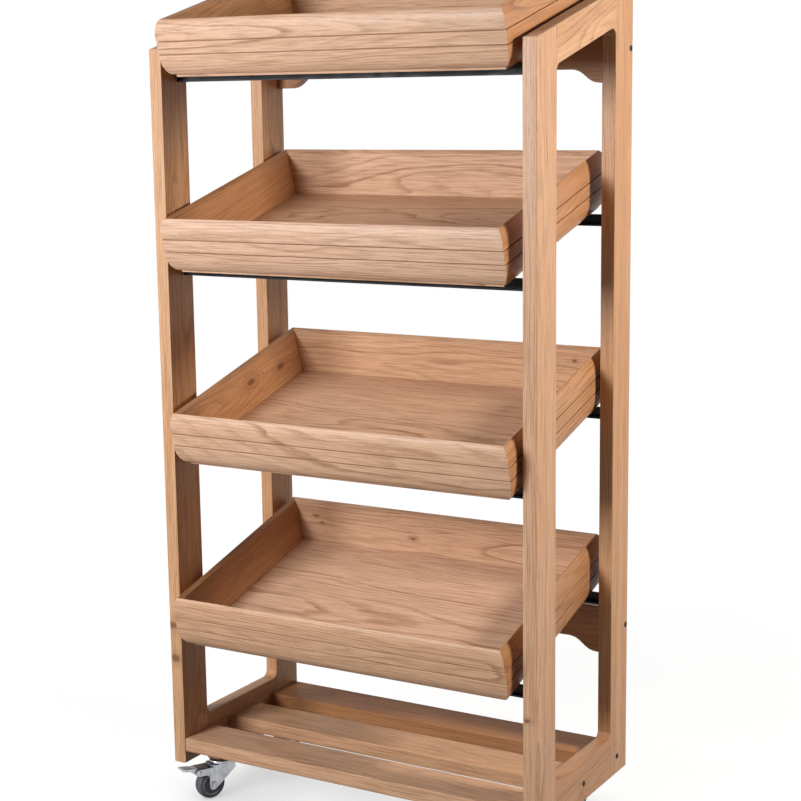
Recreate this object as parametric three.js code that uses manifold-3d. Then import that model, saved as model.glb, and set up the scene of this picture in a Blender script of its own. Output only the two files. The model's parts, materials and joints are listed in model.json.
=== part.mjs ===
// Bakery bread rack: two oak side frames on swivel casters carry four sloping trays on steel bars.
// Millimetres, +Z up. The design frame has its origin midway between the side frames,
// level with the front faces of the posts, and on the floor.

import * as THREE from 'three';
import { mergeVertices } from 'three/addons/utils/BufferGeometryUtils.js';
import Module from 'manifold-3d';

const wasm = await Module();
wasm.setup();

// Side frames
const rackWidth = 700;
const frameDepth = 353;
const frameThickness = 24.5;
const postDepth = 68;
const frontPostHeight = 1219;
const frameBottom = 70;
const slopeDegrees = 15.7;
const topRailHeight = 56;
const bottomRailHeight = 71;
const windowCornerRadius = 12;
const arrisRadius = 2.5;
const jointGap = 0.3;

// Slatted base and back aprons
const slatDepth = 80;
const slatThickness = 24.5;
const slatRise = 20.9;
const slatFrontInset = 1;
const slatBackInset = 9;
const bearerThickness = 24.5;
const bearerEndInset = 36;
const apronThickness = 18;
const apronHeight = 81;
const apronScallop = 22;
const apronEndLength = 24;
const apronOgeeLength = 53;
const apronArris = 1.5;
const apronBarClearance = 8;

// Trays
const traySideClearance = 16.5;
const trayForwardReach = 29;
const trayBackInset = 15.2;
const trayBoardHeight = 86;
const lowestTrayRise = 304.5;
const topTrayOverPost = 40.4;
const traySideShift = [-0.5, -7.5, 4.5, -3.5];
const trayUpSlopeShift = [0, 5, -5, -3];
const boardTopThickness = 12;
const boardFlare = 8.5;
const boardBulge = 7.6;
const boardFootSetback = 5;
const rimRound = 1;
const firstGrooveDrop = 33.5;
const secondGrooveDrop = 56.5;
const grooveWidth = 2.6;
const grooveDepth = 2.6;
const quirkDrop = 2;
const quirkWidth = 2;
const quirkDepth = 1.2;
const panelRise = 12;
const panelLip = 6;
const panelLipSetback = 6;
const mitreGap = 0.15;

// Steel tray bars
const barHeight = 18.8;
const barFoot = 10;
const barSteel = 3;
const frontBarSetback = 48.5;
const backBarInset = 26;
const barTabLength = 27;

// Casters
const casterHeight = 72;
const casterInsetX = 57;
const casterInsetY = 56;
const casterTurnDegrees = -24;
const casterTrail = 22;
const wheelRadius = 26;
const wheelWidth = 21;
const wheelShoulder = 3;
const wheelHubWall = 5;
const wheelWallHeight = 7.5;
const wheelWallTaper = 1.5;
const wheelDish = 4.2;
const axleRadius = 4;
const axleHeadRadius = 6;
const axleHeadLength = 3.5;
const runningGap = 0.3;
const stemRadius = 5;
const stemLength = 18;
const headHeight = 10;
const headRadius = 20;
const headFootRadius = 17;
const headCollarRadius = 12;
const headCollarHeight = 3;
const kingpinRadius = 5;
const kingpinHeight = 6;
const crownThickness = 3;
const crownRadius = 26.5;
const crownFront = 22;
const skirtDrop = 9;
const forkSteel = 2.5;
const forkSideGap = 1.5;
const forkFootRadius = 8;
const forkEarRadius = 6;
const brakePivotReach = 27;
const brakePivotRise = 28;
const brakePinRadius = 2;
const pedalSideGap = 2;
const pedalReach = 29;
const pedalRise = 12;
const pedalHeel = 18;
const pedalThickness = 4;
const pedalHubRadius = 6.5;

// Values that follow from the driving dimensions
const slope = THREE.MathUtils.degToRad(slopeDegrees);
const innerHalfWidth = rackWidth / 2 - frameThickness;
const slatBottom = frameBottom + slatRise;
const fitHalfWidth = innerHalfWidth - jointGap;
const trayCount = traySideShift.length;
const trayPitch = (frontPostHeight + topTrayOverPost - lowestTrayRise) / (trayCount - 1);
const backBarSetback = frameDepth - backBarInset;
const trayWidth = 2 * (innerHalfWidth - traySideClearance);
const trayLength = (frameDepth + trayForwardReach - trayBackInset) / Math.cos(slope);
const panelInset = boardTopThickness + boardFlare + jointGap;
const lipInset = boardFootSetback + panelLipSetback;
const trayInnerDepth = trayBoardHeight - panelRise;
const trayUnderside = trayBoardHeight + jointGap + panelLip;
const forkInnerHalf = wheelWidth / 2 + forkSideGap;
const headTop = casterHeight - jointGap;
const crownTop = headTop - headHeight - runningGap;
const crownBottom = crownTop - crownThickness;

const oak = { color: 0xc9a074, roughness: 0.55, metalness: 0 };
const blackSteel = { color: 0x17181a, roughness: 0.4, metalness: 0.3 };
const zinc = { color: 0xb7bbc0, roughness: 0.35, metalness: 0.9 };
const rubber = { color: 0x45464c, roughness: 0.7, metalness: 0 };

// A side view is drawn as depth and height, a back view as width and height
const sideView = new THREE.Matrix4().makeBasis(
  new THREE.Vector3(0, 1, 0), new THREE.Vector3(0, 0, 1), new THREE.Vector3(1, 0, 0));
const backView = new THREE.Matrix4().makeBasis(
  new THREE.Vector3(1, 0, 0), new THREE.Vector3(0, 0, 1), new THREE.Vector3(0, -1, 0));

const rack = new THREE.Group();

function toSolid(geometry) {
  const bare = geometry.clone();
  bare.deleteAttribute('normal');
  bare.deleteAttribute('uv');
  const merged = mergeVertices(bare);
  const vertProperties = new Float32Array(merged.attributes.position.array);
  const triVerts = new Uint32Array(merged.index.array);
  return new wasm.Manifold(new wasm.Mesh({ numProp: 3, vertProperties, triVerts }));
}

function toGeometry(solid) {
  const mesh = solid.getMesh();
  const geometry = new THREE.BufferGeometry();
  geometry.setAttribute('position', new THREE.BufferAttribute(mesh.vertProperties, 3));
  geometry.setIndex(new THREE.BufferAttribute(mesh.triVerts, 1));
  geometry.computeVertexNormals();
  return geometry;
}

function addPart(parent, name, geometry, finish) {
  const mesh = new THREE.Mesh(geometry, new THREE.MeshStandardMaterial(finish));
  mesh.name = name;
  parent.add(mesh);
  return mesh;
}

function box(low, high) {
  const size = new THREE.Vector3().subVectors(high, low);
  const middle = new THREE.Vector3().addVectors(low, high).multiplyScalar(0.5);
  return new THREE.BoxGeometry(size.x, size.y, size.z).translate(middle.x, middle.y, middle.z);
}

function upright(radiusTop, radiusBottom, low, high, sides) {
  const drum = new THREE.CylinderGeometry(radiusTop, radiusBottom, high - low, sides);
  return drum.rotateX(Math.PI / 2).translate(0, 0, (low + high) / 2);
}

function crosswise(radius, low, high, sides) {
  return new THREE.CylinderGeometry(radius, radius, high - low, sides).translate(0, (low + high) / 2, 0);
}

// Draws an outline across its thickness, with every arris of both faces rounded inside the outline
function arrisedBoard(outline, thickness, arris, curveSegments) {
  const board = new THREE.ExtrudeGeometry(outline, {
    depth: thickness - 2 * arris,
    bevelThickness: arris,
    bevelSize: arris,
    bevelOffset: -arris,
    bevelSegments: 2,
    curveSegments,
  });
  return board.translate(0, 0, arris - thickness / 2);
}

function roundedRectangle(left, bottom, right, top, radius) {
  const outline = new THREE.Shape();
  outline.absarc(right - radius, bottom + radius, radius, -Math.PI / 2, 0);
  outline.absarc(right - radius, top - radius, radius, 0, Math.PI / 2);
  outline.absarc(left + radius, top - radius, radius, Math.PI / 2, Math.PI);
  outline.absarc(left + radius, bottom + radius, radius, Math.PI, 1.5 * Math.PI);
  outline.closePath();
  return outline;
}

// Height of the frame's sloping top edge at a distance behind the posts' front faces
function frameTopAt(y) {
  return frameBottom + frontPostHeight + y * Math.tan(slope);
}

// The window between posts and rails: its two upper corners are not square, because the rail slopes
function windowOutline() {
  const front = postDepth;
  const back = frameDepth - postDepth;
  const low = frameBottom + bottomRailHeight;
  const railDrop = topRailHeight / Math.cos(slope);
  const radius = windowCornerRadius;
  const frontTop = frameTopAt(front) - railDrop;
  const backTop = frameTopAt(back) - railDrop;
  const frontReach = radius * Math.tan((Math.PI / 2 - slope) / 2);
  const backReach = radius * Math.tan((Math.PI / 2 + slope) / 2);
  const outline = new THREE.Path();
  outline.absarc(back - radius, low + radius, radius, -Math.PI / 2, 0);
  outline.absarc(back - radius, backTop - backReach, radius, 0, Math.PI / 2 + slope);
  outline.absarc(front + radius, frontTop - frontReach, radius, Math.PI / 2 + slope, Math.PI);
  outline.absarc(front + radius, low + radius, radius, Math.PI, 1.5 * Math.PI);
  outline.closePath();
  return outline;
}

function sideFrameBlank() {
  const outline = new THREE.Shape();
  outline.moveTo(0, frameBottom);
  outline.lineTo(frameDepth, frameBottom);
  outline.lineTo(frameDepth, frameTopAt(frameDepth));
  outline.lineTo(0, frameTopAt(0));
  outline.closePath();
  outline.holes.push(windowOutline());
  return arrisedBoard(outline, frameThickness, arrisRadius, 5).applyMatrix4(sideView);
}

// Each side frame is drawn whole and then parted along the glue lines between posts and rails
function addSideFrame(side, direction) {
  const blank = toSolid(sideFrameBlank());
  const frontLine = postDepth;
  const backLine = frameDepth - postDepth;
  const half = jointGap / 2;
  const middle = frameBottom + frontPostHeight / 2;
  const top = frameTopAt(frameDepth) + frameThickness;
  const members = {
    front_post: [-frameThickness, 0, frontLine - half, top],
    back_post: [backLine + half, 0, frameDepth + frameThickness, top],
    bottom_rail: [frontLine + half, 0, backLine - half, middle],
    top_rail: [frontLine + half, middle, backLine - half, top],
  };
  for (const [member, [yLow, zLow, yHigh, zHigh]] of Object.entries(members)) {
    const low = new THREE.Vector3(-frameThickness, yLow, zLow);
    const high = new THREE.Vector3(frameThickness, yHigh, zHigh);
    const geometry = toGeometry(blank.intersect(toSolid(box(low, high))));
    const mesh = addPart(rack, `${side}_${member}`, geometry, oak);
    mesh.position.x = direction * (rackWidth / 2 - frameThickness / 2);
  }
}

// A piece of one section that fills the width between the side frames
function crossMember(section, curveSegments) {
  const depth = 2 * fitHalfWidth;
  const member = new THREE.ExtrudeGeometry(section, { depth, bevelEnabled: false, curveSegments });
  return member.translate(0, 0, -fitHalfWidth).applyMatrix4(sideView);
}

function addSlats() {
  const step = (frameDepth - slatFrontInset - slatBackInset - slatDepth) / 2;
  ['front', 'middle', 'back'].forEach((place, index) => {
    const front = slatFrontInset + index * step;
    const slatTop = slatBottom + slatThickness;
    const section = roundedRectangle(front, slatBottom, front + slatDepth, slatTop, arrisRadius);
    addPart(rack, `${place}_slat`, crossMember(section, 3), oak);
  });
}

// An apron is deep at its ends and steps up through an ogee to a shallower middle
function apronOutline() {
  const outline = new THREE.Shape();
  const ogeeOuter = fitHalfWidth - apronEndLength;
  const ogeeInner = ogeeOuter - apronOgeeLength;
  const ogeeMiddle = (ogeeOuter + ogeeInner) / 2;
  outline.moveTo(-fitHalfWidth, 0);
  outline.lineTo(-ogeeOuter, 0);
  outline.bezierCurveTo(-ogeeMiddle, 0, -ogeeMiddle, apronScallop, -ogeeInner, apronScallop);
  outline.lineTo(ogeeInner, apronScallop);
  outline.bezierCurveTo(ogeeMiddle, apronScallop, ogeeMiddle, 0, ogeeOuter, 0);
  outline.lineTo(fitHalfWidth, 0);
  outline.lineTo(fitHalfWidth, apronHeight);
  outline.lineTo(-fitHalfWidth, apronHeight);
  outline.closePath();
  return outline;
}

// An apron hangs between the back posts, just clear of a tray's back bar
function addApron(name, trayNumber) {
  const apron = arrisedBoard(apronOutline(), apronThickness, apronArris, 10).applyMatrix4(backView);
  const mesh = addPart(rack, name, apron, oak);
  const apronTop = barTopAt(backBarSetback, trayNumber) - barHeight - apronBarClearance;
  mesh.position.set(0, frameDepth - apronThickness / 2, apronTop - apronHeight);
}

// Trays are numbered from the top
function rimRiseOf(trayNumber) {
  return lowestTrayRise + (trayCount - trayNumber) * trayPitch;
}

// A bar stops just short of the tray's underside at its distance behind the posts' front faces
function barTopAt(y, trayNumber) {
  const rimHeight = frameBottom + rimRiseOf(trayNumber) + (y + trayForwardReach) * Math.tan(slope);
  return rimHeight - trayUnderside / Math.cos(slope) - jointGap;
}

// Tray moulding, drawn as distance outward from the top outer edge and height above the tray's rim:
// an inner face with a quirk under the rim, a foot that curves back inward, and a swelling
// outer face that two V-grooves part into three bands
function mouldingSection() {
  const section = new THREE.Shape();
  const halfGroove = grooveWidth / 2;
  const grooveFloor = boardBulge - grooveDepth;
  const bandEdge = boardBulge - grooveDepth / 2;
  const innerTop = -boardTopThickness;
  const innerFoot = innerTop - boardFlare;
  section.moveTo(innerTop, 0);
  section.lineTo(innerTop, -quirkDrop);
  section.lineTo(innerTop + quirkDepth, -quirkDrop - quirkWidth / 2);
  section.lineTo(innerTop, -quirkDrop - quirkWidth);
  section.lineTo(innerFoot, -trayInnerDepth);
  section.lineTo(innerFoot, -trayBoardHeight);
  section.lineTo(-boardFootSetback, -trayBoardHeight);
  section.quadraticCurveTo(
    bandEdge, -(secondGrooveDrop + trayBoardHeight) / 2,
    bandEdge, -secondGrooveDrop - halfGroove);
  section.lineTo(grooveFloor, -secondGrooveDrop);
  section.lineTo(boardBulge, -secondGrooveDrop + halfGroove);
  section.lineTo(boardBulge, -firstGrooveDrop - halfGroove);
  section.lineTo(grooveFloor, -firstGrooveDrop);
  section.lineTo(bandEdge, -firstGrooveDrop + halfGroove);
  section.bezierCurveTo(
    boardBulge + grooveDepth, -firstGrooveDrop / 2, boardBulge / 2, 0, -rimRound, 0);
  section.closePath();
  return section;
}

// A moulding board along one side of a tray: every point of an end slides along the board
// by its own distance outward, which cuts the mitre
function mitredBoard(halfSpan) {
  const options = { depth: 2, bevelEnabled: false, curveSegments: 6 };
  const board = new THREE.ExtrudeGeometry(mouldingSection(), options).translate(0, 0, -1);
  const position = board.attributes.position;
  for (let index = 0; index < position.count; index += 1) {
    const halfLength = halfSpan + position.getX(index) - mitreGap;
    position.setZ(index, Math.sign(position.getZ(index)) * halfLength);
  }
  return board.rotateX(Math.PI / 2);
}

// A slab as wide and long as the tray's rim, less an inset, between two depths below the rim
function traySlab(inset, lowDepth, highDepth) {
  const low = new THREE.Vector3(inset - trayWidth / 2, inset, -lowDepth);
  const high = new THREE.Vector3(trayWidth / 2 - inset, trayLength - inset, -highDepth);
  return box(low, high);
}

// The bottom fills the tray between the boards, and its rebated edge laps under their feet
function bottomPanel() {
  const field = toSolid(traySlab(panelInset, trayUnderside, trayInnerDepth));
  return toGeometry(field.add(toSolid(traySlab(lipInset, trayUnderside, trayBoardHeight + jointGap))));
}

// A tray's own frame starts in the middle of its front rim, and its third axis stands on the tray
function addTray(number, sideShift, upSlopeShift) {
  const tray = new THREE.Group();
  tray.position.set(sideShift, -trayForwardReach, frameBottom + rimRiseOf(number));
  tray.rotation.x = slope;
  tray.translateY(upSlopeShift);
  rack.add(tray);
  const sides = [
    ['right_board', 0, trayWidth / 2, trayLength / 2],
    ['back_board', 1, trayLength / 2, trayWidth / 2],
    ['left_board', 2, trayWidth / 2, trayLength / 2],
    ['front_board', 3, trayLength / 2, trayWidth / 2],
  ];
  for (const [name, quarterTurns, distance, halfSpan] of sides) {
    const board = mitredBoard(halfSpan).translate(distance, 0, 0);
    board.rotateZ(quarterTurns * Math.PI / 2).translate(0, trayLength / 2, 0);
    addPart(tray, `tray_${number}_${name}`, board, oak);
  }
  addPart(tray, `tray_${number}_bottom_panel`, bottomPanel(), oak);
}

// A bar is an angle with its foot to the front and a full end tab against each post
function addBar(name, uprightFront, trayNumber) {
  const top = barTopAt(uprightFront, trayNumber);
  const footFront = uprightFront + barSteel - barFoot;
  const section = new THREE.Shape();
  section.moveTo(footFront, top - barHeight);
  section.lineTo(uprightFront + barSteel, top - barHeight);
  section.lineTo(uprightFront + barSteel, top);
  section.lineTo(uprightFront, top);
  section.lineTo(uprightFront, top - barHeight + barSteel);
  section.lineTo(footFront, top - barHeight + barSteel);
  section.closePath();
  let bar = toSolid(crossMember(section, 1));
  for (const end of [-1, 1]) {
    const outer = end * fitHalfWidth;
    const inner = outer - end * barSteel;
    const low = new THREE.Vector3(Math.min(inner, outer), footFront, top - barHeight);
    const high = new THREE.Vector3(Math.max(inner, outer), footFront + barTabLength, top);
    bar = bar.add(toSolid(box(low, high)));
  }
  addPart(rack, name, toGeometry(bar), blackSteel);
}

function addTraysAndBars() {
  for (let index = 0; index < trayCount; index += 1) {
    const number = index + 1;
    addTray(number, traySideShift[index], trayUpSlopeShift[index]);
    addBar(`tray_${number}_front_bar`, frontBarSetback, number);
    addBar(`tray_${number}_back_bar`, backBarSetback, number);
  }
}

// A bearer runs under the slats on each side and is bored for the two caster stems
function addBearer(side, direction) {
  const x = direction * (rackWidth / 2 - casterInsetX);
  const low = new THREE.Vector3(-bearerThickness / 2, bearerEndInset, casterHeight);
  const high = new THREE.Vector3(bearerThickness / 2, frameDepth - bearerEndInset, slatBottom - jointGap);
  let bearer = toSolid(box(low, high));
  const boreRadius = stemRadius + jointGap;
  for (const y of [casterInsetY, frameDepth - casterInsetY]) {
    const bore = upright(boreRadius, boreRadius, low.z - jointGap, high.z + jointGap, 16);
    bearer = bearer.subtract(toSolid(bore.translate(0, y, 0)));
  }
  addPart(rack, `${side}_base_bearer`, toGeometry(bearer), oak).position.x = x;
}

// Casters are drawn with the kingpin on the third axis and the wheel trailing along the first.
// The fixed head is a pressed cup under a collar, with a stem that rises into the bearer
function casterHead() {
  const boreRadius = kingpinRadius + runningGap;
  const headBottom = crownTop + runningGap;
  const boreTop = crownTop + kingpinHeight + runningGap;
  const cupTop = headTop - headCollarHeight;
  const profile = new THREE.Path();
  profile.moveTo(0, boreTop);
  profile.lineTo(boreRadius, boreTop);
  profile.lineTo(boreRadius, headBottom);
  profile.lineTo(headFootRadius, headBottom);
  profile.quadraticCurveTo(headRadius, headBottom, headRadius, (headBottom + cupTop) / 2);
  profile.quadraticCurveTo(headRadius, cupTop, headCollarRadius, cupTop);
  profile.lineTo(headCollarRadius, headTop);
  profile.lineTo(stemRadius, headTop);
  profile.lineTo(stemRadius, headTop + stemLength);
  profile.lineTo(0, headTop + stemLength);
  return new THREE.LatheGeometry(profile.getPoints(3), 18).rotateX(Math.PI / 2);
}

function crownOutline() {
  const halfWidth = forkInnerHalf + forkSteel;
  const outline = new THREE.Shape();
  const shoulder = Math.acos(halfWidth / crownRadius);
  outline.absarc(0, 0, crownRadius, Math.PI / 2 + shoulder, 1.5 * Math.PI - shoulder);
  outline.lineTo(casterTrail, -halfWidth);
  outline.lineTo(casterTrail, halfWidth);
  outline.closePath();
  return outline;
}

// One cheek of the fork: a leg that tapers to the axle, and an ear that holds the brake's pivot
function cheekOutline() {
  const axleRise = wheelRadius;
  const pivotX = casterTrail + brakePivotReach;
  const pivotZ = axleRise + brakePivotRise;
  const legBack = casterTrail + forkFootRadius;
  const legLean = Math.atan2(crownFront + casterTrail, crownBottom - skirtDrop - axleRise);
  const outline = new THREE.Shape();
  outline.moveTo(-crownFront, crownBottom + runningGap);
  outline.lineTo(-crownFront, crownBottom - skirtDrop);
  outline.absarc(casterTrail, axleRise, forkFootRadius, Math.PI + legLean, 2 * Math.PI);
  outline.lineTo(legBack, pivotZ - 2 * forkEarRadius);
  outline.quadraticCurveTo(legBack, pivotZ - forkEarRadius, pivotX, pivotZ - forkEarRadius);
  outline.absarc(pivotX, pivotZ, forkEarRadius, -Math.PI / 2, Math.PI / 2);
  outline.lineTo(casterTrail, crownBottom + runningGap);
  outline.closePath();
  const pinHole = new THREE.Path();
  outline.holes.push(pinHole.absarc(pivotX, pivotZ, brakePinRadius + runningGap, 0, 2 * Math.PI, true));
  return outline;
}

// The axle is riveted into the fork, so both are one piece
function casterFork() {
  const crown = new THREE.ExtrudeGeometry(crownOutline(), {
    depth: crownThickness, bevelEnabled: false, curveSegments: 10,
  });
  let fork = toSolid(crown.translate(0, 0, crownBottom));
  const kingpinTop = crownTop + kingpinHeight;
  fork = fork.add(toSolid(upright(kingpinRadius, kingpinRadius, crownBottom, kingpinTop, 16)));
  const outerHalf = forkInnerHalf + forkSteel;
  for (const near of [-outerHalf, forkInnerHalf]) {
    const cheek = new THREE.ExtrudeGeometry(cheekOutline(), {
      depth: forkSteel, bevelEnabled: false, curveSegments: 6,
    });
    fork = fork.add(toSolid(cheek.rotateX(Math.PI / 2).translate(0, near + forkSteel, 0)));
  }
  const axleEnd = outerHalf + axleHeadLength;
  const axle = crosswise(axleRadius, -outerHalf, outerHalf, 16).translate(casterTrail, 0, wheelRadius);
  fork = fork.add(toSolid(axle));
  for (const [low, high] of [[-axleEnd, -outerHalf + runningGap], [outerHalf - runningGap, axleEnd]]) {
    const head = crosswise(axleHeadRadius, low, high, 6);
    fork = fork.add(toSolid(head.translate(casterTrail, 0, wheelRadius)));
  }
  return toGeometry(fork);
}

// Tyre with rounded shoulders on a core whose web is dished on both sides
function casterWheel() {
  const half = wheelWidth / 2;
  const bore = axleRadius + runningGap;
  const hub = bore + wheelHubWall;
  const wall = wheelRadius - wheelWallHeight;
  const rim = wall - wheelWallTaper;
  const web = half - wheelDish;
  const shoulder = wheelShoulder;
  const profile = new THREE.Path();
  profile.moveTo(bore, -half);
  profile.lineTo(hub, -half);
  profile.lineTo(hub, -web);
  profile.lineTo(rim, -web);
  profile.lineTo(wall, -half);
  profile.absarc(wheelRadius - shoulder, -half + shoulder, shoulder, -Math.PI / 2, 0);
  profile.absarc(wheelRadius - shoulder, half - shoulder, shoulder, 0, Math.PI / 2);
  profile.lineTo(wall, half);
  profile.lineTo(rim, web);
  profile.lineTo(hub, web);
  profile.lineTo(hub, half);
  profile.lineTo(bore, half);
  profile.lineTo(bore, -half);
  return new THREE.LatheGeometry(profile.getPoints(3), 24);
}

// The brake pedal turns on a pin through the fork's ears
function brakePedal() {
  const pivotX = casterTrail + brakePivotReach;
  const pivotZ = wheelRadius + brakePivotRise;
  const tipX = pivotX + pedalReach;
  const tipZ = pivotZ + pedalRise;
  const heelAngle = Math.asin((pedalHubRadius - pedalThickness) / pedalHubRadius);
  const outline = new THREE.Shape();
  outline.moveTo(pivotX - pedalHeel, pivotZ + pedalHubRadius);
  outline.lineTo(pivotX - pedalHeel, pivotZ + pedalHubRadius - pedalThickness);
  outline.absarc(pivotX, pivotZ, pedalHubRadius, Math.PI - heelAngle, 1.75 * Math.PI);
  outline.quadraticCurveTo(
    pivotX + pedalHubRadius, tipZ - 2 * pedalThickness, tipX, tipZ - pedalThickness);
  outline.absarc(tipX, tipZ - pedalThickness / 2, pedalThickness / 2, -Math.PI / 2, Math.PI / 2);
  outline.quadraticCurveTo(pivotX + pedalHubRadius, tipZ - pedalThickness, pivotX, pivotZ + pedalHubRadius);
  outline.closePath();
  const half = forkInnerHalf - pedalSideGap;
  const options = { depth: 2 * half, bevelEnabled: false, curveSegments: 8 };
  const lever = new THREE.ExtrudeGeometry(outline, options);
  const pinHalf = forkInnerHalf + forkSteel;
  const pin = crosswise(brakePinRadius, -pinHalf, pinHalf, 12).translate(pivotX, 0, pivotZ);
  return toGeometry(toSolid(lever.rotateX(Math.PI / 2).translate(0, half, 0)).add(toSolid(pin)));
}

function addCaster(place, x, y, braked) {
  addPart(rack, `${place}_caster_head`, casterHead(), zinc).position.set(x, y, 0);
  const swivel = new THREE.Group();
  swivel.position.set(x, y, 0);
  swivel.rotation.z = THREE.MathUtils.degToRad(casterTurnDegrees - 90);
  rack.add(swivel);
  addPart(swivel, `${place}_caster_fork`, casterFork(), zinc);
  const wheel = addPart(swivel, `${place}_caster_wheel`, casterWheel(), rubber);
  wheel.position.set(casterTrail, 0, wheelRadius);
  if (braked) {
    addPart(swivel, `${place}_brake_pedal`, brakePedal(), zinc);
  }
}

function addCasters() {
  for (const [side, direction] of [['left', -1], ['right', 1]]) {
    const x = direction * (rackWidth / 2 - casterInsetX);
    addBearer(side, direction);
    addCaster(`front_${side}`, x, casterInsetY, true);
    addCaster(`back_${side}`, x, frameDepth - casterInsetY, false);
  }
}

addSideFrame('left', -1);
addSideFrame('right', 1);
addSlats();
addApron('lower_back_apron', trayCount);
addApron('upper_back_apron', 1);
addTraysAndBars();
addCasters();

// The finished rack stands with the middle of its own outline over the origin
const extent = new THREE.Box3().setFromObject(rack, true);
rack.position.set(-(extent.min.x + extent.max.x) / 2, -(extent.min.y + extent.max.y) / 2, -extent.min.z);

export default rack;
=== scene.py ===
import json
import math
import random

import bpy
from mathutils import Matrix, Vector


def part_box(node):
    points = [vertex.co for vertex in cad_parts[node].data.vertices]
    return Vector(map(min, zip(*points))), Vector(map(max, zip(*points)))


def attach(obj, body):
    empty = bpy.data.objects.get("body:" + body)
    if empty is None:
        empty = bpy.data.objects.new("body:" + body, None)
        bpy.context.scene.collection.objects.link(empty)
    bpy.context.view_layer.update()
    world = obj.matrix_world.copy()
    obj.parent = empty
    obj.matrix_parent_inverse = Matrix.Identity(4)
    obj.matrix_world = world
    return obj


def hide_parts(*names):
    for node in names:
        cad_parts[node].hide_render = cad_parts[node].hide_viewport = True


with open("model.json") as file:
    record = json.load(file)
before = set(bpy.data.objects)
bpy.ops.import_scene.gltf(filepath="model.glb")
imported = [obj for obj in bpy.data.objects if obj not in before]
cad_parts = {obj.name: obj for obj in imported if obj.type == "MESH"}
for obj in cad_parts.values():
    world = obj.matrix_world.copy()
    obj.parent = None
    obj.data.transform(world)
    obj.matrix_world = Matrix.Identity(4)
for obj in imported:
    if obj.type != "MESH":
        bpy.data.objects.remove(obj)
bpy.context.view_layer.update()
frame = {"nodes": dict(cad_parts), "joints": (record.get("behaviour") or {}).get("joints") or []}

nodes = frame["nodes"]
joints = {joint["name"]: joint for joint in frame["joints"]}

# The posts' front faces are where places along Y are measured from
POST_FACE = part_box("left_front_post")[0].y

# Camera at the photograph's viewing angle
PHOTO_SIDE = 801
FOCAL_PIXELS = 1724.7
CAMERA_PLACE = Vector((1.4402, POST_FACE - 2.2701, 1.2007))
CAMERA_YAW = math.radians(30.25)
CAMERA_PITCH = math.radians(9.85)
CAMERA_ROLL = math.radians(-0.76)

# Directions of the boards
TRAY_SLOPE = math.radians(15.7)
RIGHTWARD = Vector((1, 0, 0))
BACKWARD = Vector((0, 1, 0))
UPWARD = Vector((0, 0, 1))
UP_SLOPE = Vector((0, math.cos(TRAY_SLOPE), math.sin(TRAY_SLOPE)))
TRAY_UP = Vector((0, -math.sin(TRAY_SLOPE), math.cos(TRAY_SLOPE)))

# Linear colours
OAK_PALE = (0.71, 0.425, 0.235, 1)
OAK_MIDDLE = (0.58, 0.305, 0.145, 1)
# Colours the board tones blend towards: paler wood with painted sheen, and darker wood with painted shade
OAK_PALER_AND_SHEEN = (0.80, 0.56, 0.44, 1)
OAK_DARKER_AND_SHADE = (0.44, 0.185, 0.075, 1)
OAK_LINE = (0.26, 0.115, 0.048, 1)
OAK_KNOT = (0.15, 0.062, 0.033, 1)
STEEL_BLACK = (0.013, 0.013, 0.016, 1)
STEEL_WORN = (0.05, 0.05, 0.055, 1)
SCREW_BLACK = (0.016, 0.011, 0.010, 1)
SCREW_WORN = (0.07, 0.06, 0.055, 1)
ZINC_BRIGHT = (0.60, 0.61, 0.64, 1)
ZINC_DULL = (0.26, 0.275, 0.31, 1)
TYRE_GREY = (0.050, 0.050, 0.060, 1)
TYRE_DUSTY = (0.12, 0.12, 0.135, 1)
RING_GREY = (0.28, 0.28, 0.31, 1)
RING_DUSTY = (0.42, 0.42, 0.46, 1)
FLOOR_PALE = (0.16, 0.16, 0.16, 1)
GLOW_WHITE = (1, 1, 1, 1)
LAMP_WHITE = (1, 1, 1)
LAMP_WARM = (1, 0.9, 0.78)

# How a board is sawn from its log: lengths in metres, angles in radians
SAW_TILT = 0.025
SAW_TURN = 0.3
LOG_SPREAD = 5
PITH_SHIFT = 0.04
PITH_DISTANCES = (0.05, 0.11)
RING_WIDTHS = (0.0032, 0.0046)
RING_WANDER_DEPTH = 0.055
RING_RIPPLE_DEPTH = 0.0022

# Features of oak per metre along the grain, across it and through the board
RING_WANDER = (1.5, 7, 7)
RING_RIPPLE = (10, 80, 80)
LINE_BREAKS = (14, 160, 160)
PORES = (60, 1400, 1400)
FIBRES = (14, 480, 480)
STREAKS = (2.2, 70, 70)
DRIFTS = (1.2, 9, 9)
KNOT_RAGS = (150, 400, 60)

# The dark line of early wood, as shares of a year's growth, and how faint it can be
EARLY_RISE = 0.08
EARLY_FADE = (0.10, 0.50)
FAINTEST_YEAR = 0.25
FAINTEST_LINE = 0.35

# How strongly each feature of oak, the painted shade in hollows and the painted highlight on arrises darken
# or lighten a board
STREAK_SHARE = 0.55
DRIFT_SHARE = 0.45
YEAR_SHARE = 0.2
TONE_SPREAD = 0.12
EARLY_SHARE = 0.72
PORE_SHARE = 0.65
FIBRE_SHARE = 0.40
HALO_SHARE = 0.45
HEART_SHARE = 0.82
ARRIS_WEAR_AND_HIGHLIGHT_SHARE = 0.25
HOLLOW_SHADE_SHARE = 0.55

# A knot is drawn out along the grain and runs deep into the board; reaches are in sizes of its heart
KNOT_SHAPE = Vector((0.45, 1, 0.15))
KNOT_BEND = 2.2
HALO_REACH = (4.5, 0.8)
HEART_REACH = (1.9, 1.0)

# Specular levels of the oiled boards, and of the slats and tray bottoms, which use has rubbed dull
OILED_SHEEN = 0.35
RUBBED_SHEEN = 0.08
COATED_SHEEN = 0.2

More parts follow.
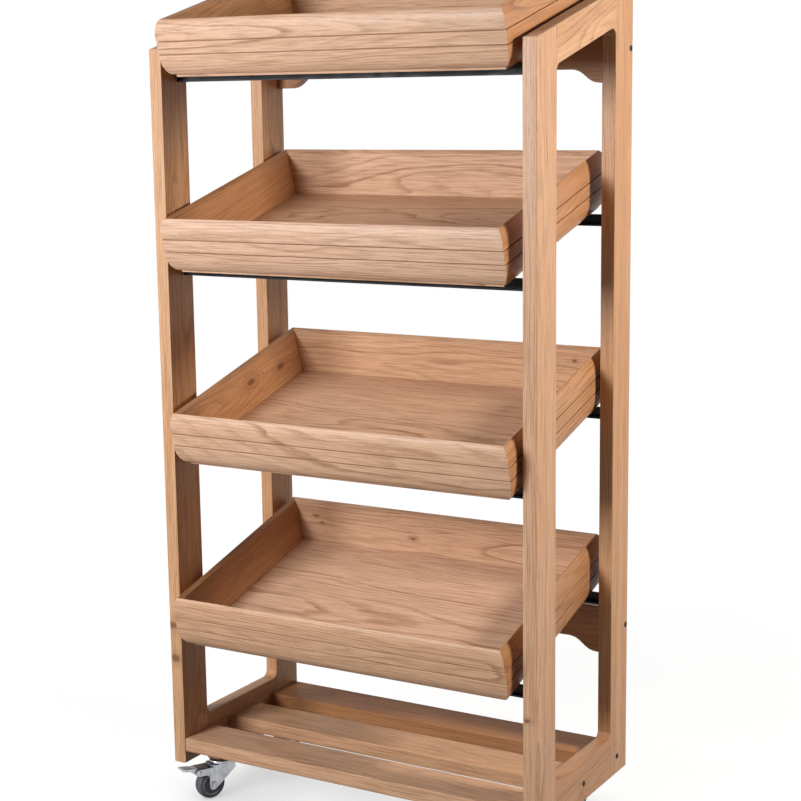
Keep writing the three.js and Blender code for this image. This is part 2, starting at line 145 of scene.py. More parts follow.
# Roughness from the smoothest to the roughest spots
OAK_ROUGH = (0.38, 0.50)
PORE_ROUGH = 0.22
STEEL_ROUGH = (0.42, 0.58)
SCREW_ROUGH = (0.35, 0.50)
ZINC_ROUGH = (0.24, 0.42)
TYRE_ROUGH = (0.5, 0.68)
RING_ROUGH = (0.4, 0.55)
FLOOR_ROUGH = 0.9

# Features per metre of the coat, the plate and the mouldings
STEEL_CLOUDS = (30, 30, 30)
STEEL_PEEL = (900, 900, 900)
ZINC_CLOUDS = (60, 60, 60)
ZINC_DRAWN = (700, 700, 40)
DUST_CLOUDS = (140, 140, 140)
SPECKLES = (2200, 2200, 2200)

# How far worn arrises reach (on oak also a painted highlight), and how far painted shade reaches into a
# hollow, metres
OAK_EDGE = 0.0015
OAK_HOLLOW = 0.004
COAT_EDGE = 0.001
ZINC_HOLLOW = 0.006

# Heights of the fine reliefs, metres
OAK_RELIEF = 0.0004
FINE_RELIEF = 0.0002

# Edges, metres, and the bend that counts as an edge
BOARD_ARRIS = 0.0008
MOULDING_ARRIS = 0.0004
METAL_ARRIS = 0.0004
WHEEL_ARRIS = 0.0005
SAME_SPOT = 1e-6
CREASE = math.radians(38)

# Facets round the turned pieces
WHEEL_FACETS = 64
HUB_FACETS = 32
SCREW_FACETS = 24

# Screws, metres
SCREW_RADIUS = 0.0048
SCREW_HEIGHT = 0.0014
SCREW_SUNK = 0.0002
SLAT_SCREW_SETBACKS = (0.039, 0.1756, 0.312)
SLAT_SCREW_HEIGHT = 0.101
APRON_SCREW_RISE = 0.0535
TAB_SCREW_RADIUS = 0.0035
TAB_SCREW_HEIGHT = 0.002
TAB_SCREW_SETBACK = 0.0085
TAB_THICKNESS = 0.003

# Outline of a screw's head as shares of its radius and height; the last two rings are the socket
SCREW_HEAD = ((1, 0.35), (0.93, 0.7), (0.72, 0.95), (0.55, 1), (0.45, 1), (0.43, 0.3))
SOCKET_RINGS = (5, 6)

# Tray moulding, metres: setbacks go inward from the outermost face, drops go down from the rim
BOARD_HEIGHT = 0.086
FLOOR_DROP = 0.076
WALL_SETBACK = 0.0284
FOOT_SETBACK = 0.0126
FACE_SETBACK = 0.0031
CREST_SETBACK = 0.0116
CREST_RISE = 0.0035
LIP_WIDTH = 0.0065
LIP_DROP = 0.005
QUIRK = 0.001
QUIRK_LEAN = 0.0002
FIRST_GROOVE_DROP = 0.0305
SECOND_GROOVE_DROP = 0.0519
GROOVE_WIDTH = 0.0019
GROOVE_DEPTH = 0.0034
GROOVE_TAPER = 0.7

# Guide points of the moulding's two curves, as setback and height above the rim
FOOT_GUIDES = ((0.007, -0.080), (FACE_SETBACK, -0.070))
CREST_GUIDES = ((0.0026, -0.014), (0.0065, 0.0005))
CURVE_STEPS = 8

# Half outlines of a caster wheel's pieces, as radius and distance from the wheel's middle, metres
TYRE_HALF = ((0.0178, 0.0100), (0.0215, 0.0104), (0.0236, 0.0096), (0.0250, 0.0076), (0.0258, 0.0045),
             (0.0260, 0))
RING_HALF = ((0.0162, 0.0098), (0.0168, 0.0106), (0.0191, 0.0106), (0.0197, 0.0098))
WEB_HALF = ((0.0088, 0.0068), (0.0142, 0.0064), (0.0157, 0.0076), (0.0163, 0.0097))
HUB_HALF = ((0.0044, 0.0105), (0.0086, 0.0105), (0.0092, 0.0098))

# Outlines of the axle's washers and the pedal pin's heads, as radius and height above the fork, metres
WASHER = ((0.0072, 0.0), (0.0072, 0.0007), (0.0069, 0.0010), (0.0055, 0.0010))
RIVET = ((0.0036, 0.0), (0.0034, 0.0007), (0.0026, 0.0013), (0.0012, 0.0016))
HALF_FORK = 0.0145

# Floor, metres, how white it shows near the rack and far from it, and the painted shadow in its glow near
# the rack
FLOOR_REACH = 40.0
FLOOR_FADE = (0.6, 2.5)
FLOOR_GLOW = (0.92, 1.0)
PAINTED_SHADOW_REACH = 0.15
PAINTED_SHADOW_GLOW = 0.5

# Lamps: name, place, side length in metres, power in watts and colour
AMBIENT = 0.02
LAMP_TARGET = Vector((0, 0, 0.8))
LAMPS = (
    ("key_front", (-0.9, -2.25, 1.4), 0.8, 61, LAMP_WHITE),
    ("fill_left", (-2.6, -1.5, 1.0), 1.5, 10, LAMP_WHITE),
    ("side_right", (2.0, 0.10, 1.55), 0.35, 36, LAMP_WARM),
    ("back_right", (2.3, 1.93, 1.2), 1.5, 9, LAMP_WHITE),
)


def node(tree, kind, inputs=None, **settings):
    """Adds a node; each input is a constant, or a socket to link."""
    made = tree.nodes.new(kind)
    for key, value in settings.items():
        setattr(made, key, value)
    for key, value in (inputs or {}).items():
        if isinstance(value, bpy.types.NodeSocket):
            tree.links.new(value, made.inputs[key])
        else:
            made.inputs[key].default_value = value
    return made


def calculate(tree, operation, first, second=0.0, third=0.0):
    inputs = {0: first, 1: second, 2: third}
    return node(tree, "ShaderNodeMath", inputs, operation=operation).outputs[0]


def vector(tree, operation, first, second=(0, 0, 0)):
    made = node(tree, "ShaderNodeVectorMath", {0: first, 1: second}, operation=operation)
    return made.outputs["Value" if operation in ("LENGTH", "DOT_PRODUCT") else "Vector"]


def noise(tree, place, stretch, detail=2.0):
    """Noise with its own count of features per metre along each axis."""
    stretched = vector(tree, "MULTIPLY", place, stretch)
    inputs = {"Vector": stretched, "Scale": 1.0, "Detail": detail}
    return node(tree, "ShaderNodeTexNoise", inputs).outputs["Fac"]


def ease(tree, value, low, high, out_low=0.0, out_high=1.0):
    """Smooth step of a value from one range to another."""
    inputs = {"Value": value, "From Min": low, "From Max": high, "To Min": out_low, "To Max": out_high}
    return node(tree, "ShaderNodeMapRange", inputs, interpolation_type="SMOOTHSTEP").outputs["Result"]


def blend(tree, share, first, second):
    inputs = {"Factor": share, 6: first, 7: second}
    return node(tree, "ShaderNodeMix", inputs, data_type="RGBA").outputs[2]


def new_material(name):
    """A material with its tree, its shader and the place on the surface in the row frame."""
    material = bpy.data.materials.new(name)
    material.use_nodes = True
    tree = material.node_tree
    place = node(tree, "ShaderNodeTexCoord").outputs["Object"]
    return material, tree, tree.nodes["Principled BSDF"], place


def bump(tree, shader, height, strength, distance):
    inputs = {"Height": height, "Strength": strength, "Distance": distance}
    tree.links.new(node(tree, "ShaderNodeBump", inputs).outputs["Normal"], shader.inputs["Normal"])


def edge_share(tree, radius):
    """About 1 on arrises and 0 on faces."""
    rounded = node(tree, "ShaderNodeBevel", {"Radius": radius}, samples=4).outputs["Normal"]
    plain = node(tree, "ShaderNodeNewGeometry").outputs["Normal"]
    return ease(tree, vector(tree, "DOT_PRODUCT", rounded, plain), 0.99, 0.80)


def hollow_share(tree, distance):
    """About 1 deep in grooves and corners and 0 on open faces."""
    inputs = {"Distance": distance}
    open_share = node(tree, "ShaderNodeAmbientOcclusion", inputs, samples=6).outputs["AO"]
    return ease(tree, open_share, 0.55, 0.15)


def bend_round_knot(tree, grain, radius, knot, size):
    """Bends the rings round a knot; gives the rings' radius, the knot's halo and its heart."""
    offset = vector(tree, "SUBTRACT", grain, knot)
    shaped = vector(tree, "MULTIPLY", offset, KNOT_SHAPE / size)
    distance = vector(tree, "LENGTH", shaped)
    distance = calculate(tree, "ADD", distance, noise(tree, grain, KNOT_RAGS, 2.0))
    halo = ease(tree, distance, *HALO_REACH)
    heart = ease(tree, distance, *HEART_REACH, 0.0, HEART_SHARE)
    return calculate(tree, "MULTIPLY_ADD", halo, KNOT_BEND * size, radius), halo, heart


def oak(name, along, across, middle, tone_and_light, sheen, knots=()):
    """Oiled oak sawn from its own place in a log, with its grain along one direction."""
    luck = random.Random(name)
    material, tree, shader, place = new_material(name)
    axes = Matrix((along, across, along.cross(across))).transposed()
    axes = axes @ Matrix.Rotation(luck.uniform(-SAW_TILT, SAW_TILT), 3, "Y")
    axes = axes @ Matrix.Rotation(luck.uniform(-SAW_TURN, SAW_TURN), 3, "X")
    inputs = {"Vector": place, "Location": middle, "Rotation": axes.to_euler()}
    grain = node(tree, "ShaderNodeMapping", inputs, vector_type="TEXTURE").outputs["Vector"]
    cut = vector(tree, "ADD", grain, [luck.uniform(-LOG_SPREAD, LOG_SPREAD) for _ in range(3)])

    # Growth rings around a pith that lies outside the board and wanders along its length
    pith = (0, luck.uniform(-PITH_SHIFT, PITH_SHIFT), luck.choice((-1, 1)) * luck.uniform(*PITH_DISTANCES))
    spread = vector(tree, "ADD", vector(tree, "MULTIPLY", grain, (0, 1, 1)), pith)
    radius = vector(tree, "LENGTH", spread)
    wander = noise(tree, cut, RING_WANDER, 2.0)
    radius = calculate(tree, "MULTIPLY_ADD", wander, RING_WANDER_DEPTH, radius)
    ripple = noise(tree, cut, RING_RIPPLE, 1.0)
    radius = calculate(tree, "MULTIPLY_ADD", ripple, RING_RIPPLE_DEPTH, radius)
    halos = []
    hearts = []
    for spot, size in knots:
        local = axes.transposed() @ (Vector(spot) - middle)
        radius, halo, heart = bend_round_knot(tree, grain, radius, local, size)
        halos.append(halo)
        hearts.append(heart)
    count = calculate(tree, "DIVIDE", radius, luck.uniform(*RING_WIDTHS))
    ring = calculate(tree, "FRACT", count)
    inputs = {"W": calculate(tree, "FLOOR", count)}
    year = node(tree, "ShaderNodeTexWhiteNoise", inputs, noise_dimensions="1D").outputs["Value"]

    # Early wood is a dark open line that fades through the year
    rise = ease(tree, ring, 0.0, EARLY_RISE)
    fade = ease(tree, ring, *EARLY_FADE, 1.0, 0.0)
    early = calculate(tree, "MULTIPLY", rise, fade)
    early = calculate(tree, "MULTIPLY", early, ease(tree, year, 0.0, 1.0, FAINTEST_YEAR, 1.0))
    broken = ease(tree, noise(tree, cut, LINE_BREAKS, 2.0), 0.32, 0.62, FAINTEST_LINE, 1.0)
    early = calculate(tree, "MULTIPLY", early, broken)

    # Pores lie mostly in the early wood, fibres everywhere, and the tone drifts slowly
    pores = ease(tree, noise(tree, cut, PORES, 1.0), 0.56, 0.68)
    pores = calculate(tree, "MULTIPLY", pores, calculate(tree, "MULTIPLY_ADD", early, 0.75, 0.25))
    fibre = noise(tree, cut, FIBRES, 3.0)
    streak = ease(tree, noise(tree, cut, STREAKS, 2.0), 0.3, 0.7)
    drift = ease(tree, noise(tree, cut, DRIFTS, 2.0), 0.3, 0.7, 0.0, DRIFT_SHARE)

    share = calculate(tree, "MULTIPLY_ADD", streak, STREAK_SHARE, drift)
    share = calculate(tree, "MULTIPLY_ADD", year, YEAR_SHARE, share)
    colour = blend(tree, share, OAK_PALE, OAK_MIDDLE)
    # A board's tone: partly real difference between boards, partly painted sheen on paler boards and painted
    # shade on darker ones
    tone_and_light += luck.uniform(-TONE_SPREAD, TONE_SPREAD)
    colour = blend(tree, abs(tone_and_light), colour, OAK_PALER_AND_SHEEN if tone_and_light > 0 else OAK_DARKER_AND_SHADE)
    colour = blend(tree, calculate(tree, "MULTIPLY", early, EARLY_SHARE), colour, OAK_LINE)
    colour = blend(tree, calculate(tree, "MULTIPLY", pores, PORE_SHARE), colour, OAK_LINE)
    colour = blend(tree, ease(tree, fibre, 0.58, 0.34, 0.0, FIBRE_SHARE), colour, OAK_LINE)
    for halo, heart in zip(halos, hearts):
        colour = blend(tree, calculate(tree, "MULTIPLY", halo, HALO_SHARE), colour, OAK_LINE)
        colour = blend(tree, heart, colour, OAK_KNOT)
    # Arrises are painted paler towards OAK_PALE: partly wear, partly a painted highlight
    edge = edge_share(tree, OAK_EDGE)
    colour = blend(tree, calculate(tree, "MULTIPLY", edge, ARRIS_WEAR_AND_HIGHLIGHT_SHARE), colour, OAK_PALE)
    # Grooves, corners and joints are painted darker towards OAK_LINE by their ambient occlusion: painted
    # shade
    hollow_shade = calculate(tree, "MULTIPLY", hollow_share(tree, OAK_HOLLOW), HOLLOW_SHADE_SHARE)
    colour = blend(tree, hollow_shade, colour, OAK_LINE)
    tree.links.new(colour, shader.inputs["Base Color"])

    rough = ease(tree, fibre, 0.3, 0.7, *OAK_ROUGH)
    rough = calculate(tree, "MULTIPLY_ADD", pores, PORE_ROUGH, rough)
    tree.links.new(rough, shader.inputs["Roughness"])
    shader.inputs["Specular IOR Level"].default_value = sheen
    height = calculate(tree, "MULTIPLY_ADD", pores, -1.0, calculate(tree, "MULTIPLY", fibre, 0.5))
    height = calculate(tree, "MULTIPLY_ADD", early, -0.3, height)
    bump(tree, shader, height, 0.35, OAK_RELIEF)
    return material


def coated_steel(name, coat, worn_coat, rough):
    """Black coated steel with a fine orange peel, thin along its arrises."""
    material, tree, shader, place = new_material(name)
    cloud = noise(tree, place, STEEL_CLOUDS, 3.0)
    peel = noise(tree, place, STEEL_PEEL, 2.0)
    worn = ease(tree, cloud, 0.45, 0.7, 0.2, 1.0)
    worn = calculate(tree, "MULTIPLY", edge_share(tree, COAT_EDGE), worn)
    tree.links.new(blend(tree, worn, coat, worn_coat), shader.inputs["Base Color"])
    tree.links.new(ease(tree, cloud, 0.3, 0.7, *rough), shader.inputs["Roughness"])
    shader.inputs["Specular IOR Level"].default_value = COATED_SHEEN
    bump(tree, shader, peel, 0.12, FINE_RELIEF)
    return material


def zinc():
    """Bright zinc plate over pressed steel, cloudy and slightly blue."""
    material, tree, shader, place = new_material("zinc_plate")
    cloud = noise(tree, place, ZINC_CLOUDS, 2.0)
    drawn = noise(tree, place, ZINC_DRAWN, 2.0)
    dull_and_shade = ease(tree, cloud, 0.3, 0.8, 0.0, 0.3)
    dull_and_shade = calculate(tree, "MULTIPLY_ADD", ease(tree, drawn, 0.35, 0.65), 0.5, dull_and_shade)
    # Hollows of the caster are painted duller and darker by their ambient occlusion: painted shade
    dull_and_shade = calculate(tree, "MAXIMUM", dull_and_shade, hollow_share(tree, ZINC_HOLLOW))
    tree.links.new(blend(tree, dull_and_shade, ZINC_BRIGHT, ZINC_DULL), shader.inputs["Base Color"])
    tree.links.new(ease(tree, cloud, 0.3, 0.7, *ZINC_ROUGH), shader.inputs["Roughness"])
    shader.inputs["Metallic"].default_value = 1.0
    bump(tree, shader, drawn, 0.2, FINE_RELIEF)
    return material


def moulded(name, clean, dusty, rough):
    """Moulded rubber or plastic with a dusty bloom."""
    material, tree, shader, place = new_material(name)
    cloud = noise(tree, place, DUST_CLOUDS, 4.0)
    speckle = noise(tree, place, SPECKLES, 1.0)
    dust = calculate(tree, "MULTIPLY", ease(tree, cloud, 0.45, 0.75), 0.7)
    rubbed = calculate(tree, "MULTIPLY", edge_share(tree, COAT_EDGE), 0.4)
    dust = calculate(tree, "MAXIMUM", dust, rubbed)
    tree.links.new(blend(tree, dust, clean, dusty), shader.inputs["Base Color"])
    tree.links.new(ease(tree, cloud, 0.3, 0.7, *rough), shader.inputs["Roughness"])
    bump(tree, shader, speckle, 0.15, FINE_RELIEF)
    return material


def crease_group():
    """Geometry nodes that join the facets of a solid and shade it smooth up to its real edges."""
    group = bpy.data.node_groups.new("real_edges", "GeometryNodeTree")
    group.interface.new_socket("Geometry", in_out="INPUT", socket_type="NodeSocketGeometry")
    group.interface.new_socket("Geometry", in_out="OUTPUT", socket_type="NodeSocketGeometry")
    start = node(group, "NodeGroupInput").outputs[0]
    inputs = {"Geometry": start, "Distance": SAME_SPOT}
    joined = node(group, "GeometryNodeMergeByDistance", inputs).outputs[0]
    inputs = {"Geometry": joined, "Name": "custom_normal"}
    bare = node(group, "GeometryNodeRemoveAttribute", inputs).outputs[0]
    smooth = node(group, "GeometryNodeSetShadeSmooth", {"Geometry": bare}).outputs[0]
    angle = node(group, "GeometryNodeInputMeshEdgeAngle").outputs["Unsigned Angle"]
    settings = {"data_type": "FLOAT", "operation": "GREATER_THAN"}
    sharp = node(group, "FunctionNodeCompare", {0: angle, 1: CREASE}, **settings).outputs[0]
    inputs = {"Geometry": smooth, "Selection": sharp, "Shade Smooth": False}
    creased = node(group, "GeometryNodeSetShadeSmooth", inputs, domain="EDGE").outputs[0]
    node(group, "NodeGroupOutput", {0: creased})
    return group


def soften(obj, width):
    """Breaks the sharp arrises of a solid without changing its mesh."""
    obj.modifiers.new("real_edges", "NODES").node_group = edges
    arris = obj.modifiers.new("arris", "BEVEL")
    arris.width = width
    arris.segments = 2
    arris.limit_method = "ANGLE"
    arris.angle_limit = CREASE
    arris.use_clamp_overlap = True
    arris.harden_normals = True
    weighted = obj.modifiers.new("flat_faces", "WEIGHTED_NORMAL")
    weighted.keep_sharp = True


def dress(obj, material):
    obj.data.materials.clear()
    obj.data.materials.append(material)


def new_object(name, points, faces):
    mesh = bpy.data.meshes.new(name)
    mesh.from_pydata(points, [], faces)
    made = bpy.data.objects.new(name, mesh)
    bpy.context.scene.collection.objects.link(made)
    return made


def board_directions(name):
    """Along the grain and across it, for each kind of board."""
    if name.endswith("_post"):
        return UPWARD, BACKWARD
    if name.endswith("_top_rail"):
        return UP_SLOPE, TRAY_UP
    if name.endswith("_bottom_rail"):
        return BACKWARD, UPWARD
    if name.endswith("_apron"):
        return RIGHTWARD, UPWARD
    if name.endswith("_slat"):
        return RIGHTWARD, BACKWARD
    if name.endswith("_base_bearer"):
        return BACKWARD, RIGHTWARD
    if name.endswith(("_left_board", "_right_board")):
        return UP_SLOPE, TRAY_UP
    if name.endswith(("_front_board", "_back_board")):
        return RIGHTWARD, TRAY_UP
    if name.endswith("_bottom_panel"):
        return RIGHTWARD, UP_SLOPE
    return None


def from_posts(x, setback, z):
    return Vector((x, POST_FACE + setback, z))


# Knots seen in the photograph, with the size of each heart
KNOTS = {
    "left_front_post": (
        (from_posts(-0.345, 0, 0.317), 0.0028),
        (from_posts(-0.339, 0, 0.259), 0.0027),
    ),
    "right_front_post": ((from_posts(0.333, 0, 0.2625), 0.0012),),
    "tray_3_left_board": (
        (from_posts(-0.2894, 0.2683, 0.7345), 0.0046),
        (from_posts(-0.2905, 0.1770, 0.7187), 0.0050),
    ),
    "tray_3_back_board": ((from_posts(0.2625, 0.3248, 0.770), 0.002),),
    "tray_4_back_board": (
        (from_posts(-0.0544, 0.3307, 0.4279), 0.0022),
        (from_posts(-0.2584, 0.3274, 0.4483), 0.0018),
        (from_posts(-0.2468, 0.3294, 0.4359), 0.0014),
    ),
}

# Each board's tone, paler above 0 and darker below; the first ending that fits counts. Only part of it is
# real difference between boards: the paler front boards and tray bottoms stand for painted sheen, and the
# darker side boards, slats, aprons, bottom rails and tray 4's left board stand for painted shade
BOARD_TONES_AND_PAINTED_LIGHT = (
    ("tray_4_front_board", 0.3),
    ("tray_4_left_board", -0.6),
    ("tray_2_left_board", -0.45),
    ("_front_board", 0.5),
    ("_bottom_panel", 0.5),
    ("_back_board", 0.3),
    ("right_front_post", 0.3),
    ("left_front_post", -0.05),
    ("front_slat", 0.2),
    ("middle_slat", 0.15),
    ("_slat", -0.6),
    ("_right_board", -0.5),
    ("_left_board", -0.25),
    ("upper_back_apron", -0.8),
    ("_apron", -0.3),
    ("_bottom_rail", -0.4),
)

edges = crease_group()
steel_finish = coated_steel("black_steel", STEEL_BLACK, STEEL_WORN, STEEL_ROUGH)
screw_finish = coated_steel("black_screw", SCREW_BLACK, SCREW_WORN, SCREW_ROUGH)
zinc_finish = zinc()
tyre_finish = moulded("tyre_rubber", TYRE_GREY, TYRE_DUSTY, TYRE_ROUGH)
ring_finish = moulded("wheel_ring", RING_GREY, RING_DUSTY, RING_ROUGH)
for name, obj in nodes.items():
    directions = board_directions(name)
    if directions:
        low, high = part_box(name)
        tone_and_light = next((tone_and_light for ending, tone_and_light in BOARD_TONES_AND_PAINTED_LIGHT if name.endswith(ending)), 0.0)
        sheen = RUBBED_SHEEN if name.endswith(("_slat", "_bottom_panel")) else OILED_SHEEN
        knots = KNOTS.get(name, ())
        dress(obj, oak("oak_" + name, *directions, (low + high) / 2, tone_and_light, sheen, knots))
        soften(obj, BOARD_ARRIS)
    elif name.endswith("_bar"):
        dress(obj, steel_finish)
        soften(obj, METAL_ARRIS)
    elif name.endswith("_wheel"):
        dress(obj, tyre_finish)
        soften(obj, WHEEL_ARRIS)
    else:
        dress(obj, zinc_finish)
        soften(obj, METAL_ARRIS)


def curve_points(start, guides, end):
    """Points of a Bezier curve after its start."""
    spots = (start, *guides, end)
    points = []
    for step in range(1, CURVE_STEPS + 1):
        share = step / CURVE_STEPS
        rest = 1 - share
        weights = (rest ** 3, 3 * rest ** 2 * share, 3 * rest * share ** 2, share ** 3)
        inward = sum(weight * spot[0] for weight, spot in zip(weights, spots))
        rise = sum(weight * spot[1] for weight, spot in zip(weights, spots))
        points.append((inward, rise))
    return points


def groove_points(face, drop):
    """A narrow groove with nearly square walls, from its lower edge to its upper one."""
    half = GROOVE_WIDTH / 2
    inner_half = GROOVE_TAPER * half
    floor = face + GROOVE_DEPTH
    low, high = -drop - half, -drop + half
    return [(face, low), (floor, -drop - inner_half), (floor, -drop + inner_half), (face, high)]


def moulding_section():
    """Outline of a tray board, as distance inward from its outermost face and height above the rim."""
    foot = (FOOT_SETBACK, -BOARD_HEIGHT)
    low_groove = groove_points(FACE_SETBACK, SECOND_GROOVE_DROP)
    top_groove = groove_points(FACE_SETBACK, FIRST_GROOVE_DROP)
    crest = (CREST_SETBACK, CREST_RISE)
    lip = (CREST_SETBACK + LIP_WIDTH, CREST_RISE - LIP_DROP)
    section = [(WALL_SETBACK, -FLOOR_DROP), (WALL_SETBACK, -BOARD_HEIGHT), foot]
    section += curve_points(foot, FOOT_GUIDES, low_groove[0])
    section += low_groove[1:] + top_groove
    section += curve_points(top_groove[-1], CREST_GUIDES, crest)
    section += [lip, (lip[0] - QUIRK, lip[1] - QUIRK), (lip[0] + QUIRK_LEAN, lip[1] - 2 * QUIRK)]
    return section


def add_tray_boards(number):
    """Mitred boards with a raised crest, a lip that slopes inward and two grooves, in place of the nodes."""
    axes = (RIGHTWARD, UP_SLOPE, TRAY_UP)
    names = [f"tray_{number}_{side}_board" for side in ("front", "right", "back", "left")]
    points = [vertex.co for name in names for vertex in nodes[name].data.vertices]
    low = [min(point.dot(axis) for point in points) for axis in axes]
    high = [max(point.dot(axis) for point in points) for axis in axes]
    section = moulding_section()
    count = len(section)
    faces = []
    for step in range(count):
        after = (step + 1) % count
        faces.append((step, after, count + after, count + step))
    faces += [tuple(reversed(range(count))), tuple(range(count, 2 * count))]
    for index, name in enumerate(names):
        corners = []
        for turn in (index, (index + 1) % 4):
            for inward, rise in section:
                x = low[0] + inward if turn in (0, 3) else high[0] - inward
                y = low[1] + inward if turn in (0, 1) else high[1] - inward
                corners.append(x * RIGHTWARD + y * UP_SLOPE + (high[2] + rise) * TRAY_UP)
        piece = new_object(name + "_moulding", corners, faces)
        dress(piece, nodes[name].data.materials[0])
        soften(piece, MOULDING_ARRIS)
        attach(piece, f"tray_{number}")
        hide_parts(name)


def lathe(name, rings, place, axis, material, body, facets, corners=()):
    """A turned piece; each ring is a radius and a height along the axis, and some rings have six corners."""
    turn = UPWARD.rotation_difference(axis).to_matrix()
    sector = math.pi / 6
    points = []
    for index, (radius, height) in enumerate(rings):
        for step in range(facets):
            angle = 2 * math.pi * step / facets
            reach = radius
            if index in corners:
                reach = radius * math.cos(sector) / math.cos(angle % (2 * sector) - sector)
            local = Vector((reach * math.cos(angle), reach * math.sin(angle), height))
            points.append(Vector(place) + turn @ local)
    faces = []
    for index in range(len(rings) - 1):
        low, high = index * facets, (index + 1) * facets
        for step in range(facets):
            after = (step + 1) % facets
            faces.append((low + step, low + after, high + after, high + step))
    faces.append(tuple(reversed(range(facets))))
    last = (len(rings) - 1) * facets
    faces.append(tuple(range(last, last + facets)))
    piece = new_object(name, points, faces)
    dress(piece, material)
    piece.modifiers.new("real_edges", "NODES").node_group = edges
    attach(piece, body)
    return piece


def socket_screw(name, place, axis, radius, height):
    """A flat button head with a six-sided socket."""
    rings = [(radius, -SCREW_SUNK)]
    rings += [(across * radius, up * height) for across, up in SCREW_HEAD]
    lathe(name, rings, place, axis, screw_finish, "rack_frame", SCREW_FACETS, SOCKET_RINGS)


def add_frame_screws():
    """Screws through the side frames into the slats and the aprons."""
    for side, outward in (("left", -1), ("right", 1)):
        low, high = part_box(side + "_front_post")
        face = high.x if outward > 0 else low.x
        spots = [(setback, SLAT_SCREW_HEIGHT) for setback in SLAT_SCREW_SETBACKS]
        for apron in ("lower_back_apron", "upper_back_apron"):
            apron_low, apron_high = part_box(apron)
            setback = (apron_low.y + apron_high.y) / 2 - POST_FACE
            spots.append((setback, apron_low.z + APRON_SCREW_RISE))
        for index, (setback, height) in enumerate(spots, 1):
            name = f"{side}_frame_screw_{index}"
            place = from_posts(face, setback, height)
            socket_screw(name, place, outward * RIGHTWARD, SCREW_RADIUS, SCREW_HEIGHT)


def add_tab_screws():
    """One screw through each end tab of each bar, behind its upright."""
    for bar in nodes:
        if bar.endswith("_bar"):
            low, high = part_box(bar)
            for side, inward in (("left", 1), ("right", -1)):
                name = f"{bar}_{side}_screw"
                face = (low.x if inward > 0 else high.x) + inward * TAB_THICKNESS
                place = Vector((face, high.y - TAB_SCREW_SETBACK, (low.z + high.z) / 2))
                socket_screw(name, place, inward * RIGHTWARD, TAB_SCREW_RADIUS, TAB_SCREW_HEIGHT)


def both_sides(half):
    """A wheel piece's whole outline from its half; a point on the middle plane is taken once."""
    near = [(radius, -offset) for radius, offset in half]
    far = [(radius, offset) for radius, offset in reversed(half) if offset]
    return near + far


# Pieces of a wheel: name, half outline, finish and facets round it
WHEEL_PIECES = (
    ("tyre", TYRE_HALF, tyre_finish, WHEEL_FACETS),
    ("ring", RING_HALF, ring_finish, WHEEL_FACETS),
    ("web", WEB_HALF, tyre_finish, WHEEL_FACETS),
    ("hub", HUB_HALF, tyre_finish, HUB_FACETS),
)


def add_wheel(place):
    """Tyre with rounded shoulders, a paler ring, a dished web and a hub, in place of the plain wheel."""
    joint = joints[place + "_wheel_roll"]
    centre = Vector(joint["pos_m"])
    axis = Vector(joint["axis"])
    body = place + "_wheel"
    for part, half, finish, facets in WHEEL_PIECES:
        outline = both_sides(half)
        piece = lathe(f"{place}_{part}", outline, centre, axis, finish, body, facets)
        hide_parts(place + "_caster_wheel")


def add_caster_details(place):
    """Washers on the axle and, on a braked caster, rivet heads on the pedal's pin."""
    roll = joints[place + "_wheel_roll"]
    axle = Vector(roll["pos_m"])
    axis = Vector(roll["axis"])
    body = place + "_swivel"
    for side, outward in (("left", -1), ("right", 1)):
        facing = outward * axis
        spot = axle + HALF_FORK * facing
        lathe(f"{place}_{side}_washer", WASHER, spot, facing, zinc_finish, body, HUB_FACETS)
        if place + "_brake_press" in joints:
            spot = Vector(joints[place + "_brake_press"]["pos_m"]) + HALF_FORK * facing
            name = f"{place}_{side}_rivet"
            lathe(name, RIVET, spot, facing, zinc_finish, body, SCREW_FACETS)


for number in range(1, 5):
    add_tray_boards(number)
add_frame_screws()
add_tab_screws()
for place in ("front_left", "front_right", "back_left", "back_right"):
    add_wheel(place)
    add_caster_details(place)


def make_camera():
    data = bpy.data.cameras.new("camera")
    data.sensor_fit = "HORIZONTAL"
    data.lens = FOCAL_PIXELS / PHOTO_SIDE * data.sensor_width
    camera = bpy.data.objects.new("camera", data)
    bpy.context.scene.collection.objects.link(camera)
    ahead = Vector((-math.sin(CAMERA_YAW) * math.cos(CAMERA_PITCH),
                    math.cos(CAMERA_YAW) * math.cos(CAMERA_PITCH), -math.sin(CAMERA_PITCH)))
    level = Vector((math.cos(CAMERA_YAW), math.sin(CAMERA_YAW), 0))
    turned = Matrix((level, level.cross(ahead), -ahead)).transposed()
    turned = turned @ Matrix.Rotation(CAMERA_ROLL, 3, "Z")
    camera.matrix_world = Matrix.Translation(CAMERA_PLACE) @ turned.to_4x4()
    bpy.context.scene.camera = camera


def camera_share(tree):
    """1 for what the camera sees directly, in a mirror or through glass."""
    path = node(tree, "ShaderNodeLightPath")
    seen = calculate(tree, "MAXIMUM", path.outputs["Is Camera Ray"], path.outputs["Is Glossy Ray"])
    return calculate(tree, "MAXIMUM", seen, path.outputs["Is Transmission Ray"])


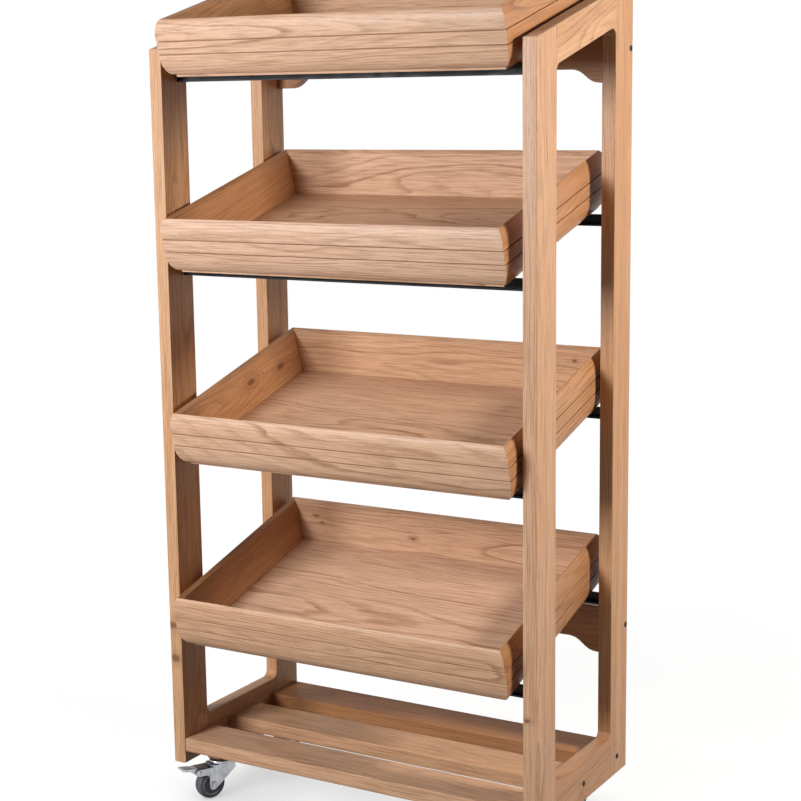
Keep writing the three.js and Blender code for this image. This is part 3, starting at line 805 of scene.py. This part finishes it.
def make_world():
    """White to the camera, and a little light from all sides."""
    world = bpy.data.worlds.new("studio")
    bpy.context.scene.world = world
    world.use_nodes = True
    tree = world.node_tree
    background = tree.nodes["Background"]
    background.inputs["Color"].default_value = GLOW_WHITE
    strength = ease(tree, camera_share(tree), 0, 1, AMBIENT, 1.0)
    tree.links.new(strength, background.inputs["Strength"])


def make_floor():
    """A pale floor that fades to white away from the rack, keeps its real shadow and has a painted shadow in
    its glow where the rack closes it in.
    """
    reach = FLOOR_REACH
    corners = [(-reach, -reach, 0), (reach, -reach, 0), (reach, reach, 0), (-reach, reach, 0)]
    floor = new_object("floor", corners, [(0, 1, 2, 3)])
    material, tree, shader, place = new_material("floor")
    shader.inputs["Base Color"].default_value = FLOOR_PALE
    shader.inputs["Roughness"].default_value = FLOOR_ROUGH
    shader.inputs["Specular IOR Level"].default_value = 0.0
    shader.inputs["Emission Color"].default_value = GLOW_WHITE
    glow = ease(tree, vector(tree, "LENGTH", place), *FLOOR_FADE, *FLOOR_GLOW)
    # The glow is dimmed where the rack closes the floor in: a painted shadow
    inputs = {"Distance": PAINTED_SHADOW_REACH}
    open_share = node(tree, "ShaderNodeAmbientOcclusion", inputs, samples=8).outputs["AO"]
    glow = calculate(tree, "MULTIPLY", glow, ease(tree, open_share, 0.1, 0.9, PAINTED_SHADOW_GLOW, 1.0))
    glow = calculate(tree, "MULTIPLY", glow, camera_share(tree))
    tree.links.new(glow, shader.inputs["Emission Strength"])
    dress(floor, material)


def make_lamp(name, place, side, power, colour):
    data = bpy.data.lights.new(name, "AREA")
    data.shape = "RECTANGLE"
    data.size = side
    data.size_y = side
    data.energy = power
    data.color = colour
    lamp = bpy.data.objects.new(name, data)
    bpy.context.scene.collection.objects.link(lamp)
    lamp.location = place
    lamp.rotation_euler = (LAMP_TARGET - Vector(place)).to_track_quat("-Z", "Y").to_euler()


make_camera()
make_world()
make_floor()
for lamp in LAMPS:
    make_lamp(*lamp)

bpy.context.scene.view_settings.view_transform = "Standard"
